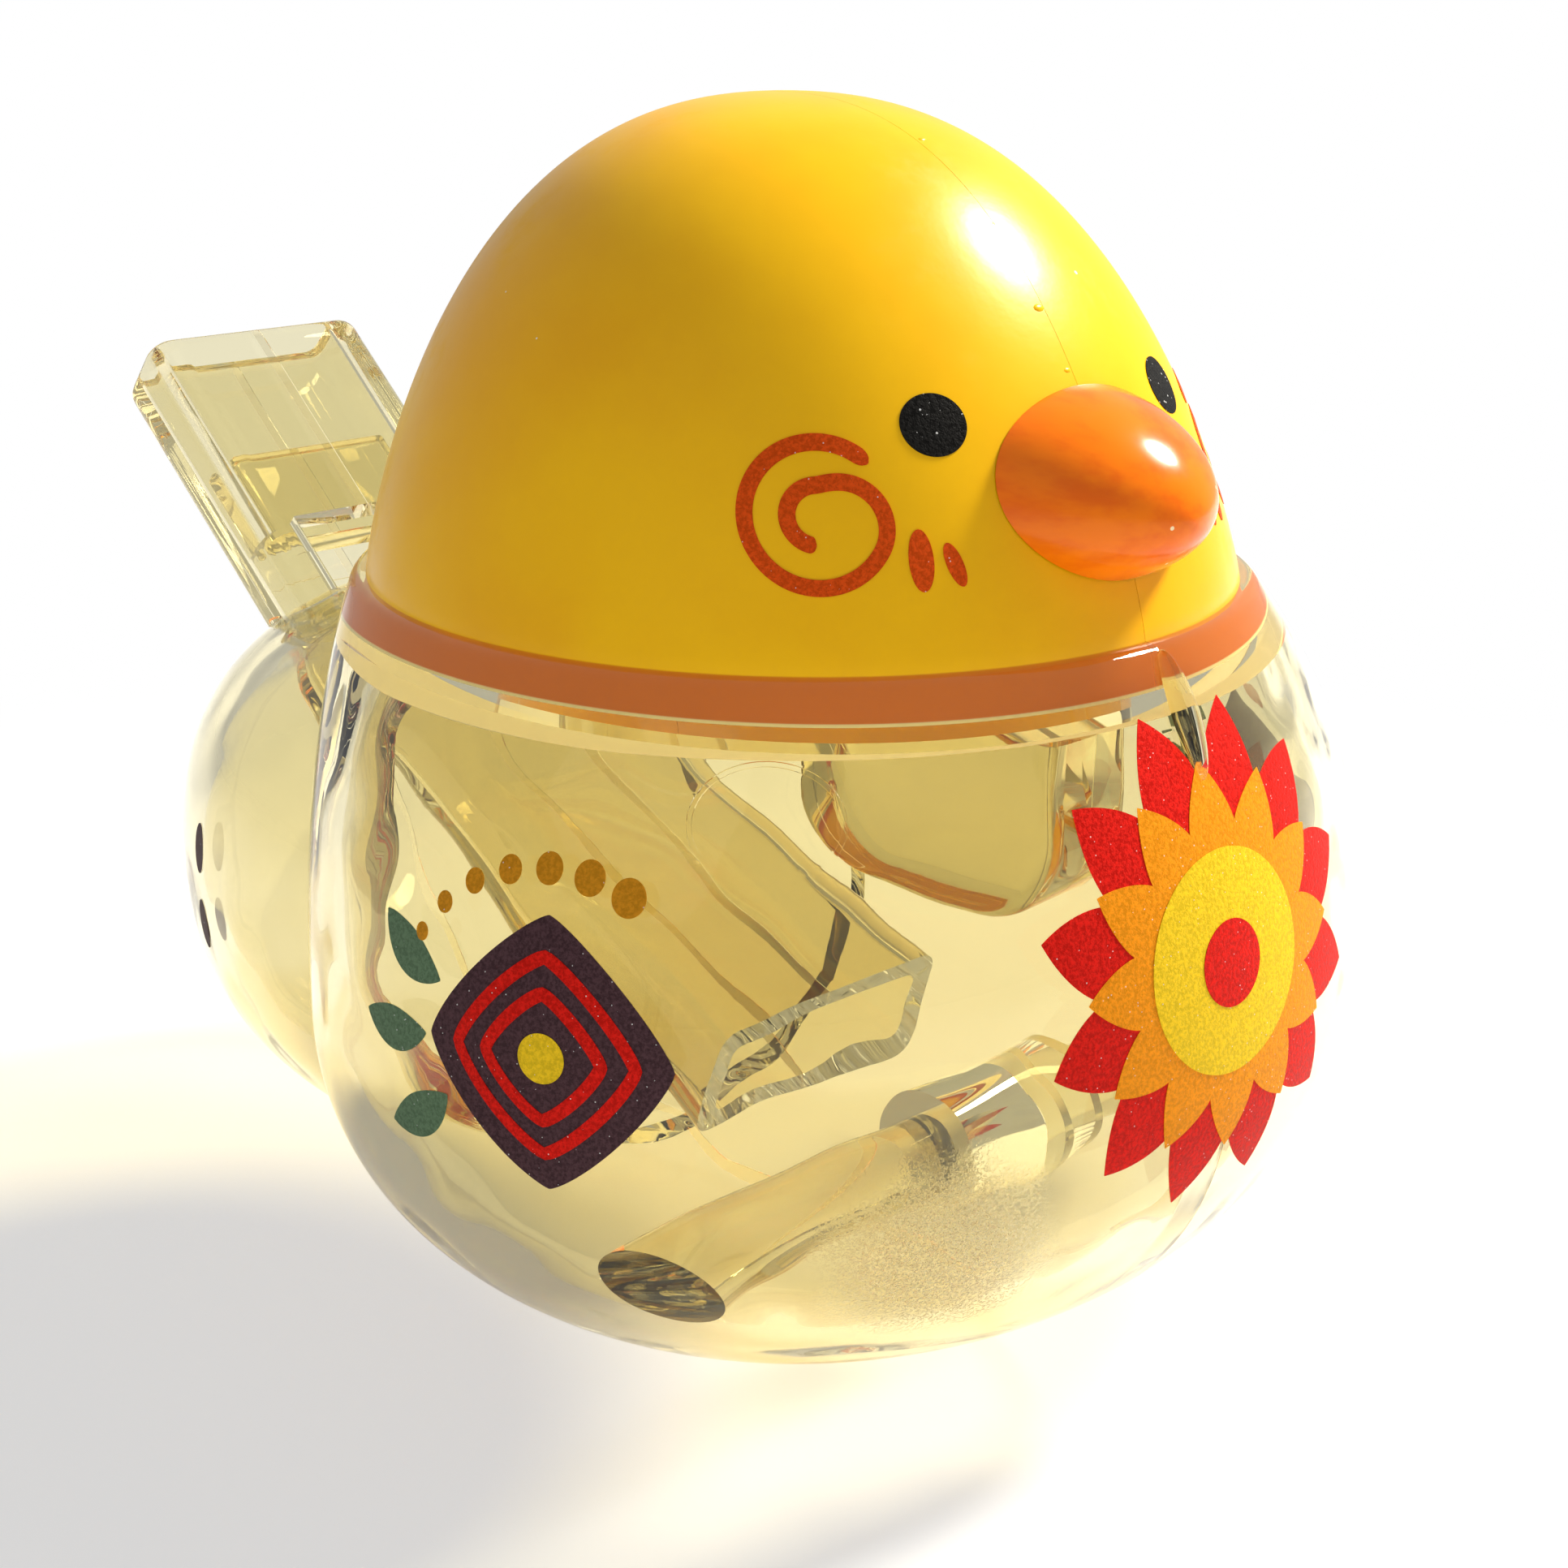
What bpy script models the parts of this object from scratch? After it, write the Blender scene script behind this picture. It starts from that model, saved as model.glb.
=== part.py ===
"""Water bird whistle: a clear two-part body with a tail mouthpiece, a yellow two-part head and an orange beak.

Metres, +Z up. The beak points along +X and the bird's right side faces -Y. The foot rests on Z = 0.
"""

import math

import bmesh
import bpy
from mathutils import Matrix, Vector

MM = 0.001

# Gaps between pieces
SEAM_GAP = 0.3 * MM
HEAD_FIT = 0.25 * MM
BLOCK_FIT = 0.3 * MM
BEAK_FIT = 0.3 * MM
PIN_FIT = 0.25 * MM

# Chest bowl
CHEST_WIDE_Z = 18.7 * MM
CHEST_HALF_LENGTH = 25.5 * MM
CHEST_HALF_WIDTH = 30.0 * MM
CHEST_FORWARD = 4.4 * MM
FOOT_CUT = 1.2 * MM
CHEST_DEPTH = CHEST_WIDE_Z + FOOT_CUT
CHEST_CURVE = 2.1
RIM_Z = 38.8 * MM
NECK_FORWARD = 0.5 * MM
RIM_RADIUS = 23.0 * MM
RIM_ROUND = 0.45 * MM
WALL = 1.8 * MM

# Rump lobe
RUMP_BACK = 20.0 * MM
RUMP_Z = 17.9 * MM
RUMP_HALF_LENGTH = 25.0 * MM
RUMP_HALF_WIDTH = 21.0 * MM
RUMP_HALF_HEIGHT = 16.8 * MM
RUMP_CURVE = 2.4

# Collar that the head's skirt drops into
SKIRT_DEPTH = 2.6 * MM
LEDGE_THICK = 1.8 * MM
LEDGE_REACH = 3.0 * MM

# Tail mouthpiece, with its crown line ending at the mouth
TAIL_SLOPE = math.radians(41.0)
MOUTH_BACK = 49.95 * MM
MOUTH_Z = 45.9 * MM
TAIL_WIDTH = 15.8 * MM
TAIL_THICK = 6.0 * MM
TAIL_LENGTH = 23.5 * MM
TAIL_ROUND = 1.7 * MM
MOUTH_ROUND = 1.0 * MM

# Wind path inside the tail
BORE_WIDTH = 12.2 * MM
BORE_HEIGHT = 3.2 * MM
BORE_ROOF = 1.4 * MM
BORE_ROUND = 0.7 * MM
BLOCK_START = 8.8 * MM
BLOCK_LENGTH = 6.5 * MM
BLOCK_CHAMFER = 0.3 * MM
WINDWAY_HEIGHT = 1.1 * MM
WINDOW_LENGTH = 4.4 * MM
WINDOW_WIDTH = 11.0 * MM
LIP_DEPTH = 2.0 * MM
RAMP_LENGTH = 5.5 * MM
RAMP_RISE = 2.8 * MM

# Voice tube that dips into the water
TUBE_WIDTH = 17.0 * MM
TUBE_HEIGHT = 6.8 * MM
TUBE_WALL = 1.3 * MM
TUBE_ROUND = 1.6 * MM
TUBE_END_X = 2.0 * MM
TUBE_END_Z = 11.6 * MM
TUBE_BEND_BACK = 26.0 * MM
TUBE_BEND_Z = 22.9 * MM
TUBE_START_INSET = 0.2 * MM
TUBE_START_LENGTH = 5.9 * MM
TUBE_BOW = 0.3 * MM

# Cross post that pegs the two halves together
POST_X = 14.8 * MM
POST_Z = 11.1 * MM
POST_RADIUS = 2.2 * MM
CUP_RADIUS = 3.4 * MM
CUP_LENGTH = 5.0 * MM
PIN_RADIUS = 1.6 * MM
PIN_LENGTH = 4.0 * MM

# Rounded lug that hangs in the neck on the mid-plane
LUG_FRONT_X = 20.6 * MM
LUG_LENGTH = 17.5 * MM
LUG_HEIGHT = 12.5 * MM
LUG_THICK = 5.5 * MM
LUG_ROUND = 5.0 * MM
LUG_CHAMFER = 0.8 * MM
LUG_SINK = 0.1 * MM

# Nub on the rim at the front seam
NUB_WIDTH = 1.5 * MM
NUB_HEIGHT = 3.6 * MM
NUB_DEPTH = 1.7 * MM
NUB_DROP = 1.5 * MM
NUB_SINK = 0.35 * MM

# Head
HEAD_RADIUS = 21.55 * MM
HEAD_STRETCH = 1.035
HEAD_LEAN = 1.1 * MM
HEAD_TOP_Z = 62.6 * MM
HEAD_WALL = 1.7 * MM
HEAD_RISE = 1.57
HEAD_CROWN = 2.32

# Beak
BEAK_X = 18.2 * MM
BEAK_Z = 45.6 * MM
BEAK_LENGTH = 8.1 * MM
BEAK_HALF_WIDTH = 6.9 * MM
BEAK_HALF_HEIGHT = 4.7 * MM
BEAK_CURVE = 1.76
BEAK_DROOP = math.radians(6.1)
STEM_RADIUS = 2.4 * MM
STEM_LENGTH = 3.2 * MM

# Facets
CHEST_SEGMENTS = 64
CHEST_INNER_SEGMENTS = 48
RUMP_SEGMENTS = 44
RUMP_INNER_SEGMENTS = 32
HEAD_SEGMENTS = 56
HEAD_INNER_SEGMENTS = 36
BEAK_SEGMENTS = 28

# Colours: red, green, blue, alpha, roughness
CLEAR_PLASTIC = (0.93, 0.89, 0.62, 0.35, 0.05)
YELLOW_PLASTIC = (0.96, 0.66, 0.03, 1.0, 0.22)
ORANGE_PLASTIC = (0.95, 0.33, 0.02, 1.0, 0.2)

# How far cutters run past the faces they cut, and the reach of the largest
OVERCUT = 2.0 * MM
FAR = 100.0 * MM


def clearScene():
    for obj in list(bpy.data.objects):
        bpy.data.objects.remove(obj, do_unlink=True)


def plastic(name, values):
    red, green, blue, alpha, roughness = values
    material = bpy.data.materials.new(name)
    material.use_nodes = True
    shader = material.node_tree.nodes["Principled BSDF"]
    shader.inputs["Base Color"].default_value = (red, green, blue, 1.0)
    shader.inputs["Metallic"].default_value = 0.0
    shader.inputs["Roughness"].default_value = roughness
    shader.inputs["Alpha"].default_value = alpha
    return material


def addObject(name, bm):
    """Turns a bmesh into an object with its faces pointing out."""
    bmesh.ops.recalc_face_normals(bm, faces=bm.faces)
    mesh = bpy.data.meshes.new(name)
    bm.to_mesh(mesh)
    bm.free()
    obj = bpy.data.objects.new(name, mesh)
    bpy.context.scene.collection.objects.link(obj)
    return obj


def hide(obj):
    obj.hide_render = True
    obj.display_type = "WIRE"


def combine(target, tool, operation):
    """Adds a live Boolean of the tool to the target and hides the tool."""
    modifier = target.modifiers.new(operation.title() + " " + tool.name, "BOOLEAN")
    modifier.operation = operation
    modifier.solver = "EXACT"
    modifier.object = tool
    hide(tool)


def bake(obj):
    """The object's mesh with its modifiers applied, as a new mesh."""
    graph = bpy.context.evaluated_depsgraph_get()
    return bpy.data.meshes.new_from_object(obj.evaluated_get(graph))


def loft(name, rings, startPole=None, endPole=None):
    """Skins a row of equal rings, and closes each end with a flat cap or a pole point."""
    bm = bmesh.new()
    rows = [[bm.verts.new(point) for point in ring] for ring in rings]
    count = len(rows[0])
    for lower, upper in zip(rows, rows[1:]):
        for i in range(count):
            j = (i + 1) % count
            bm.faces.new((lower[i], lower[j], upper[j], upper[i]))
    for row, pole in ((rows[0], startPole), (rows[-1], endPole)):
        if pole is None:
            bm.faces.new(row)
            continue
        tip = bm.verts.new(pole)
        for i in range(count):
            bm.faces.new((row[i], row[(i + 1) % count], tip))
    return addObject(name, bm)


def ellipseRing(centreX, centreZ, halfLength, halfWidth, segments):
    ring = []
    for i in range(segments):
        angle = 2 * math.pi * (i + 0.5) / segments
        ring.append((centreX + halfLength * math.cos(angle), halfWidth * math.sin(angle), centreZ))
    return ring


def superCurve(share, power):
    """Half width of a superellipse of size 1 at this share of its height."""
    return max(0.0, 1.0 - abs(share) ** power) ** (1.0 / power)


def depthTo(radius, widest, power, height):
    """Height of the superellipse that narrows from widest to radius over this height."""
    share = (1.0 - (radius / widest) ** power) ** (1.0 / power)
    return height / share


def chestRing(z, inset, segments):
    """One level ring of the chest bowl, drawn in by inset from the outer face."""
    halfLength = CHEST_HALF_LENGTH - inset
    halfWidth = CHEST_HALF_WIDTH - inset
    rise = RIM_Z - CHEST_WIDE_Z
    if z <= CHEST_WIDE_Z:
        share = (CHEST_WIDE_Z - z) / (CHEST_DEPTH - inset)
        narrow = superCurve(share, CHEST_CURVE)
        return ellipseRing(CHEST_FORWARD, z, halfLength * narrow, halfWidth * narrow, segments)
    up = z - CHEST_WIDE_Z
    lengthDepth = depthTo(RIM_RADIUS * HEAD_STRETCH, CHEST_HALF_LENGTH, CHEST_CURVE, rise)
    widthDepth = depthTo(RIM_RADIUS, CHEST_HALF_WIDTH, CHEST_CURVE, rise)
    alongX = halfLength * superCurve(up / lengthDepth, CHEST_CURVE)
    alongY = halfWidth * superCurve(up / widthDepth, CHEST_CURVE)
    centre = CHEST_FORWARD + (NECK_FORWARD - CHEST_FORWARD) * (up / rise) ** 2
    return ellipseRing(centre, z, alongX, alongY, segments)


def chestLevels(bottom, top, lowerCount, upperCount):
    """Heights spaced evenly round the bowl's curve below its widest ring, then evenly up to the top."""
    start = math.acos((CHEST_WIDE_Z - bottom) / CHEST_DEPTH)
    levels = []
    for i in range(lowerCount):
        turn = start + (math.pi / 2 - start) * i / lowerCount
        levels.append(CHEST_WIDE_Z - CHEST_DEPTH * math.cos(turn))
    for i in range(upperCount + 1):
        levels.append(CHEST_WIDE_Z + (top - CHEST_WIDE_Z) * i / upperCount)
    return levels


def chestOuter():
    levels = chestLevels(0.0, RIM_Z - RIM_ROUND, 12, 8)
    rings = [chestRing(z, 0.0, CHEST_SEGMENTS) for z in levels]
    for turn in (math.pi / 4, math.pi / 2):
        drop = RIM_ROUND * (1 - math.sin(turn))
        rings.append(chestRing(RIM_Z - drop, RIM_ROUND * (1 - math.cos(turn)), CHEST_SEGMENTS))
    return loft("chest form", rings)


def chestInner(name, inset):
    """The inside of the bowl up to the ledge, drawn in by inset from the outer face."""
    top = RIM_Z - SKIRT_DEPTH - LEDGE_THICK
    rings = [chestRing(z, inset, CHEST_INNER_SEGMENTS) for z in chestLevels(inset, top, 9, 5)]
    return loft(name, rings)


def rumpLobe(name, inset, rows, segments):
    """The rump as a superellipsoid, drawn in by inset."""
    rings = []
    for i in range(1, rows):
        tilt = math.pi * i / rows - math.pi / 2
        narrow = math.cos(tilt) ** (2 / RUMP_CURVE)
        height = math.copysign(abs(math.sin(tilt)) ** (2 / RUMP_CURVE), tilt)
        rings.append(
            ellipseRing(
                -RUMP_BACK,
                RUMP_Z + (RUMP_HALF_HEIGHT - inset) * height,
                (RUMP_HALF_LENGTH - inset) * narrow,
                (RUMP_HALF_WIDTH - inset) * narrow,
                segments,
            )
        )
    low = (-RUMP_BACK, 0.0, RUMP_Z - RUMP_HALF_HEIGHT + inset)
    high = (-RUMP_BACK, 0.0, RUMP_Z + RUMP_HALF_HEIGHT - inset)
    return loft(name, rings, low, high)


def roundedRectangle(width, height, radius, steps):
    """Points of a rounded rectangle round the origin, as (across, up) pairs."""
    points = []
    corners = ((1, 1, 0), (-1, 1, 1), (-1, -1, 2), (1, -1, 3))
    for signX, signY, quarter in corners:
        for i in range(steps + 1):
            angle = math.pi / 2 * (quarter + i / steps)
            across = signX * (width / 2 - radius) + radius * math.cos(angle)
            up = signY * (height / 2 - radius) + radius * math.sin(angle)
            points.append((across, up))
    return points


def ductRing(x, z, slope, width, height, radius):
    """A rounded rectangle across Y, square to a path that runs down and forward at this slope."""
    normal = Vector((math.sin(slope), 0.0, math.cos(slope)))
    ring = []
    for across, up in roundedRectangle(width, height, radius, 3):
        ring.append(Vector((x, across, z)) + normal * up)
    return ring


def tailPoint(along, depth):
    """X and Z of a point at this distance from the mouth and this depth under the tail's crown."""
    x = -MOUTH_BACK + along * math.cos(TAIL_SLOPE) - depth * math.sin(TAIL_SLOPE)
    z = MOUTH_Z - along * math.sin(TAIL_SLOPE) - depth * math.cos(TAIL_SLOPE)
    return x, z


def tailDuct(name, stations):
    """Skins sections given as (along, depth of the middle, width, height, corner radius)."""
    rings = []
    for along, depth, width, height, radius in stations:
        x, z = tailPoint(along, depth)
        rings.append(ductRing(x, z, TAIL_SLOPE, width, height, radius))
    return loft(name, rings)


def tailOuter():
    middle = TAIL_THICK / 2
    stations = []
    for i in range(4):
        turn = math.pi / 2 * i / 3
        cut = MOUTH_ROUND * (1 - math.sin(turn))
        along = MOUTH_ROUND * (1 - math.cos(turn))
        stations.append((along, middle, TAIL_WIDTH - 2 * cut, TAIL_THICK - 2 * cut, TAIL_ROUND - cut))
    stations.append((TAIL_LENGTH, middle, TAIL_WIDTH, TAIL_THICK, TAIL_ROUND))
    return tailDuct("tail form", stations)


def mouthBore():
    """Blowing slot from the mouth down to the window."""
    middle = BORE_ROOF + BORE_HEIGHT / 2
    end = BLOCK_START + BLOCK_LENGTH + WINDOW_LENGTH / 2
    stations = [(along, middle, BORE_WIDTH, BORE_HEIGHT, BORE_ROUND) for along in (-OVERCUT, end)]
    return tailDuct("mouth bore", stations)


def windowCutter():
    """The window behind the windway, with the ramp that leaves a sharp lip at its far end."""
    start = BLOCK_START + BLOCK_LENGTH
    lip = start + WINDOW_LENGTH
    floor = BORE_ROOF + BORE_HEIGHT / 2
    above = -TAIL_THICK
    outline = [
        (start, above),
        (start, floor),
        (lip, floor),
        (lip, LIP_DEPTH),
        (lip + RAMP_LENGTH, LIP_DEPTH - RAMP_RISE),
        (lip + RAMP_LENGTH, above),
    ]
    rings = []
    for side in (-1, 1):
        ring = []
        for along, depth in outline:
            x, z = tailPoint(along, depth)
            ring.append((x, side * WINDOW_WIDTH / 2, z))
        rings.append(ring)
    return loft("window", rings)


def tubeStations(inset):
    """Sections of the voice tube from inside the tail to its open end, as (x, z, slope, width, height)."""
    bendSlope = math.atan2(TUBE_BEND_Z - TUBE_END_Z, TUBE_END_X + TUBE_BEND_BACK)
    windowStart = BLOCK_START + BLOCK_LENGTH
    tailWidth = TAIL_WIDTH - 2 * TUBE_START_INSET
    tailHeight = TAIL_THICK - 2 * TUBE_START_INSET
    stations = []
    for along in (windowStart, windowStart + TUBE_START_LENGTH):
        x, z = tailPoint(along, TAIL_THICK / 2)
        stations.append((x, z, TAIL_SLOPE, tailWidth, tailHeight))
    startX, startZ = stations[-1][:2]
    middleSlope = (TAIL_SLOPE + bendSlope) / 2
    middleX = (startX - TUBE_BEND_BACK) / 2 - TUBE_BOW
    middleZ = (startZ + TUBE_BEND_Z) / 2 - TUBE_BOW
    stations.append((middleX, middleZ, middleSlope, (tailWidth + TUBE_WIDTH) / 2, (tailHeight + TUBE_HEIGHT) / 2))
    stations.append((-TUBE_BEND_BACK, TUBE_BEND_Z, bendSlope, TUBE_WIDTH, TUBE_HEIGHT))
    past = OVERCUT if inset > 0 else 0.0
    endX = TUBE_END_X + past * math.cos(bendSlope)
    endZ = TUBE_END_Z - past * math.sin(bendSlope)
    stations.append((endX, endZ, bendSlope, TUBE_WIDTH, TUBE_HEIGHT))
    return [(x, z, slope, width - 2 * inset, height - 2 * inset) for x, z, slope, width, height in stations]


def voiceTube(name, inset):
    radius = TUBE_ROUND - inset / 2
    rings = [ductRing(x, z, slope, width, height, radius) for x, z, slope, width, height in tubeStations(inset)]
    return loft(name, rings)


def cylinderAlongY(name, radius, startY, endY, segments):
    rings = []
    for y in (startY, endY):
        ring = []
        for i in range(segments):
            angle = 2 * math.pi * (i + 0.5) / segments
            ring.append((POST_X + radius * math.cos(angle), y, POST_Z + radius * math.sin(angle)))
        rings.append(ring)
    return loft(name, rings)


def neckBore():
    """Opening for the skirt, with the narrower neck below the ledge."""
    ledge = RIM_Z - SKIRT_DEPTH
    bore = HEAD_RADIUS + HEAD_FIT
    neck = bore - LEDGE_REACH
    rings = [
        ellipseRing(NECK_FORWARD, ledge - LEDGE_THICK - OVERCUT, neck * HEAD_STRETCH, neck, CHEST_SEGMENTS),
        ellipseRing(NECK_FORWARD, ledge, neck * HEAD_STRETCH, neck, CHEST_SEGMENTS),
        ellipseRing(NECK_FORWARD, ledge, bore * HEAD_STRETCH, bore, CHEST_SEGMENTS),
        ellipseRing(NECK_FORWARD, RIM_Z + OVERCUT, bore * HEAD_STRETCH, bore, CHEST_SEGMENTS),
    ]
    return loft("neck bore", rings)


def neckLug():
    """Rounded plate on the mid-plane that hangs from the ledge behind the front seam."""
    top = RIM_Z - SKIRT_DEPTH - LUG_SINK
    centreX = LUG_FRONT_X - LUG_LENGTH / 2
    face = LUG_THICK / 2
    flat = face - LUG_CHAMFER
    height = LUG_HEIGHT + 2 * LUG_ROUND
    rings = []
    for y, inset in ((-face, LUG_CHAMFER), (-flat, 0.0), (flat, 0.0), (face, LUG_CHAMFER)):
        ring = []
        for along, up in roundedRectangle(LUG_LENGTH - 2 * inset, height - 2 * inset, LUG_ROUND, 5):
            ring.append((centreX + along, y, min(top, top - LUG_HEIGHT + height / 2 + up)))
        rings.append(ring)
    return loft("neck lug", rings)


def rimNub():
    """Small rounded nub on the rim where the two halves meet in front."""
    centreZ = RIM_Z - NUB_DROP
    front = max(x for x, y, z in chestRing(centreZ, 0.0, CHEST_SEGMENTS))
    bm = bmesh.new()
    bmesh.ops.create_uvsphere(bm, u_segments=12, v_segments=8, radius=1.0)
    scale = Matrix.Diagonal((NUB_DEPTH / 2, NUB_WIDTH / 2, NUB_HEIGHT / 2, 1.0))
    bm.transform(Matrix.Translation((front - NUB_SINK, 0.0, centreZ)) @ scale)
    return addObject("rim nub", bm)


def halfSpace(name, side):
    """A block that fills everything on one side of the mid-plane, up to half the seam gap past it."""
    bm = bmesh.new()
    bmesh.ops.create_cube(bm, size=2 * FAR)
    bm.transform(Matrix.Translation((0.0, side * (FAR - SEAM_GAP / 2), 0.0)))
    return addObject(name, bm)


def bodyWhole():
    """The clear moulding before it is parted: walls, tail, voice tube, neck and rim nub."""
    body = chestOuter()
    for form in (rumpLobe("rump form", 0.0, 20, RUMP_SEGMENTS), tailOuter(), rimNub()):
        combine(body, form, "UNION")
    for hollow in (chestInner("chest cavity", WALL), rumpLobe("rump cavity", WALL, 13, RUMP_INNER_SEGMENTS)):
        combine(body, hollow, "DIFFERENCE")
    for inner in (voiceTube("voice tube form", 0.0), neckLug()):
        combine(body, inner, "UNION")
    for cut in (voiceTube("voice tube bore", TUBE_WALL), mouthBore(), windowCutter(), neckBore()):
        combine(body, cut, "DIFFERENCE")
    hide(body)
    return bake(body)


def bodyHalf(name, mesh, side, material):
    """One half of the clear body, with its own end of the cross post."""
    body = bpy.data.objects.new(name, mesh.copy())
    bpy.context.scene.collection.objects.link(body)
    combine(body, halfSpace(name + " far side", -side), "DIFFERENCE")
    midY = side * SEAM_GAP / 2
    post = cylinderAlongY(name + " post", POST_RADIUS, side * CHEST_HALF_WIDTH, midY, 20)
    combine(post, chestInner(name + " post end", WALL / 2), "INTERSECT")
    combine(body, post, "UNION")
    combine(body, cylinderAlongY(name + " cup", CUP_RADIUS, side * CUP_LENGTH, midY, 24), "UNION")
    if side < 0:
        socket = cylinderAlongY("socket", PIN_RADIUS + PIN_FIT, -PIN_LENGTH - PIN_FIT, OVERCUT, 20)
        combine(body, socket, "DIFFERENCE")
    else:
        pin = cylinderAlongY("pin", PIN_RADIUS, CUP_LENGTH / 2, -PIN_LENGTH, 20)
        combine(body, pin, "UNION")
    finish(body, material)
    return body


def finish(obj, material):
    """Applies the modifiers, sets the material and shades round faces smooth."""
    mesh = bake(obj)
    obj.modifiers.clear()
    obj.data = mesh
    mesh.name = obj.name
    mesh.materials.clear()
    mesh.materials.append(material)
    mesh.shade_smooth()
    mesh.set_sharp_from_angle(angle=math.radians(30.0))


def headRing(z, inset, segments):
    base = RIM_Z
    top = HEAD_TOP_Z - inset
    share = max(0.0, (z - base) / (top - base))
    radius = (HEAD_RADIUS - inset) * (1.0 - share**HEAD_RISE) ** (1.0 / HEAD_CROWN)
    return ellipseRing(NECK_FORWARD - HEAD_LEAN * share, z, radius * HEAD_STRETCH, radius, segments)


def headDome(name, inset, bottom, rows, segments):
    """The head's dome from its skirt to its crown, drawn in by inset."""
    top = HEAD_TOP_Z - inset
    rings = [headRing(bottom, inset, segments)]
    for i in range(rows):
        turn = math.pi / 2 * i / rows
        rings.append(headRing(RIM_Z + (top - RIM_Z) * math.sin(turn), inset, segments))
    return loft(name, rings, None, (NECK_FORWARD - HEAD_LEAN, 0.0, top))


def headHalf(name, side, material):
    """One half of the yellow head, with half of the beak's hole."""
    bottom = RIM_Z - SKIRT_DEPTH + HEAD_FIT
    head = headDome(name, 0.0, bottom, 15, HEAD_SEGMENTS)
    hollow = headDome(name + " hollow", HEAD_WALL, bottom - HEAD_WALL, 9, HEAD_INNER_SEGMENTS)
    combine(head, hollow, "DIFFERENCE")
    combine(head, beakStem(name + " beak hole", BEAK_FIT), "DIFFERENCE")
    combine(head, halfSpace(name + " far side", -side), "DIFFERENCE")
    finish(head, material)
    return head


def beakStem(name, clearance):
    """Round stem of the beak along X, or its hole with a clearance."""
    segments = 20
    radius = STEM_RADIUS + clearance
    rings = []
    for x in (BEAK_X - STEM_LENGTH - clearance, BEAK_X + BEAK_LENGTH / 2):
        ring = []
        for i in range(segments):
            angle = 2 * math.pi * i / segments
            ring.append((x, radius * math.cos(angle), BEAK_Z + radius * math.sin(angle)))
        rings.append(ring)
    return loft(name, rings)


def beakPoint(along, across, up):
    """A point of the beak, from shares of its length, half width and half height, with its droop."""
    forward = along * BEAK_LENGTH
    rise = up * BEAK_HALF_HEIGHT
    x = BEAK_X + forward * math.cos(BEAK_DROOP) + rise * math.sin(BEAK_DROOP)
    z = BEAK_Z - forward * math.sin(BEAK_DROOP) + rise * math.cos(BEAK_DROOP)
    return (x, across * BEAK_HALF_WIDTH, z)


def makeBeak(material):
    """Egg-shaped beak, cut to the curve of the head, with a stem through the head's wall."""
    rows = 16
    rings = []
    for i in range(1, rows):
        turn = math.pi * i / rows
        along = -math.copysign(abs(math.cos(turn)) ** (2 / BEAK_CURVE), math.cos(turn))
        narrow = math.sin(turn) ** (2 / BEAK_CURVE)
        ring = []
        for j in range(BEAK_SEGMENTS):
            angle = 2 * math.pi * j / BEAK_SEGMENTS
            ring.append(beakPoint(along, narrow * math.cos(angle), narrow * math.sin(angle)))
        rings.append(ring)
    beak = loft("beak", rings, beakPoint(-1.0, 0.0, 0.0), beakPoint(1.0, 0.0, 0.0))
    combine(beak, headDome("head and gap", -BEAK_FIT, RIM_Z - SKIRT_DEPTH, 15, HEAD_SEGMENTS), "DIFFERENCE")
    combine(beak, beakStem("beak stem", 0.0), "UNION")
    finish(beak, material)
    return beak


def makeFippleBlock(material):
    """The plug that closes all of the bore but the flat windway above it."""
    roof = BORE_ROOF + WINDWAY_HEIGHT
    height = BORE_HEIGHT - WINDWAY_HEIGHT - BLOCK_FIT
    width = BORE_WIDTH - 2 * BLOCK_FIT
    middle = roof + height / 2
    radius = BORE_ROUND - BLOCK_FIT
    end = BLOCK_START + BLOCK_LENGTH
    stations = [
        (BLOCK_START, middle, width - 2 * BLOCK_CHAMFER, height - 2 * BLOCK_CHAMFER, radius),
        (BLOCK_START + BLOCK_CHAMFER, middle, width, height, radius),
        (end, middle, width, height, radius),
    ]
    block = tailDuct("fipple_block", stations)
    finish(block, material)
    return block


def centreOnOrigin(pieces):
    """Hangs the pieces on one empty, moved so that the whole stands centred on the origin."""
    corners = [piece.matrix_world @ Vector(corner) for piece in pieces for corner in piece.bound_box]
    low = [min(corner[axis] for corner in corners) for axis in range(3)]
    high = [max(corner[axis] for corner in corners) for axis in range(3)]
    stand = bpy.data.objects.new("bird stand", None)
    bpy.context.scene.collection.objects.link(stand)
    stand.location = (-(low[0] + high[0]) / 2, -(low[1] + high[1]) / 2, -low[2])
    for piece in pieces:
        piece.parent = stand


def main():
    clearScene()
    clear = plastic("clear plastic", CLEAR_PLASTIC)
    blockClear = plastic("fipple plastic", CLEAR_PLASTIC)
    yellow = plastic("yellow plastic", YELLOW_PLASTIC)
    orange = plastic("orange plastic", ORANGE_PLASTIC)
    whole = bodyWhole()
    pieces = [
        bodyHalf("body_right", whole, -1, clear),
        bodyHalf("body_left", whole, 1, clear),
        headHalf("head_right", -1, yellow),
        headHalf("head_left", 1, yellow),
        makeBeak(orange),
        makeFippleBlock(blockClear),
    ]
    bpy.context.view_layer.update()
    centreOnOrigin(pieces)


main()
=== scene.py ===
import math

import bmesh
import bpy
from mathutils import Matrix, Vector, noise


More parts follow.
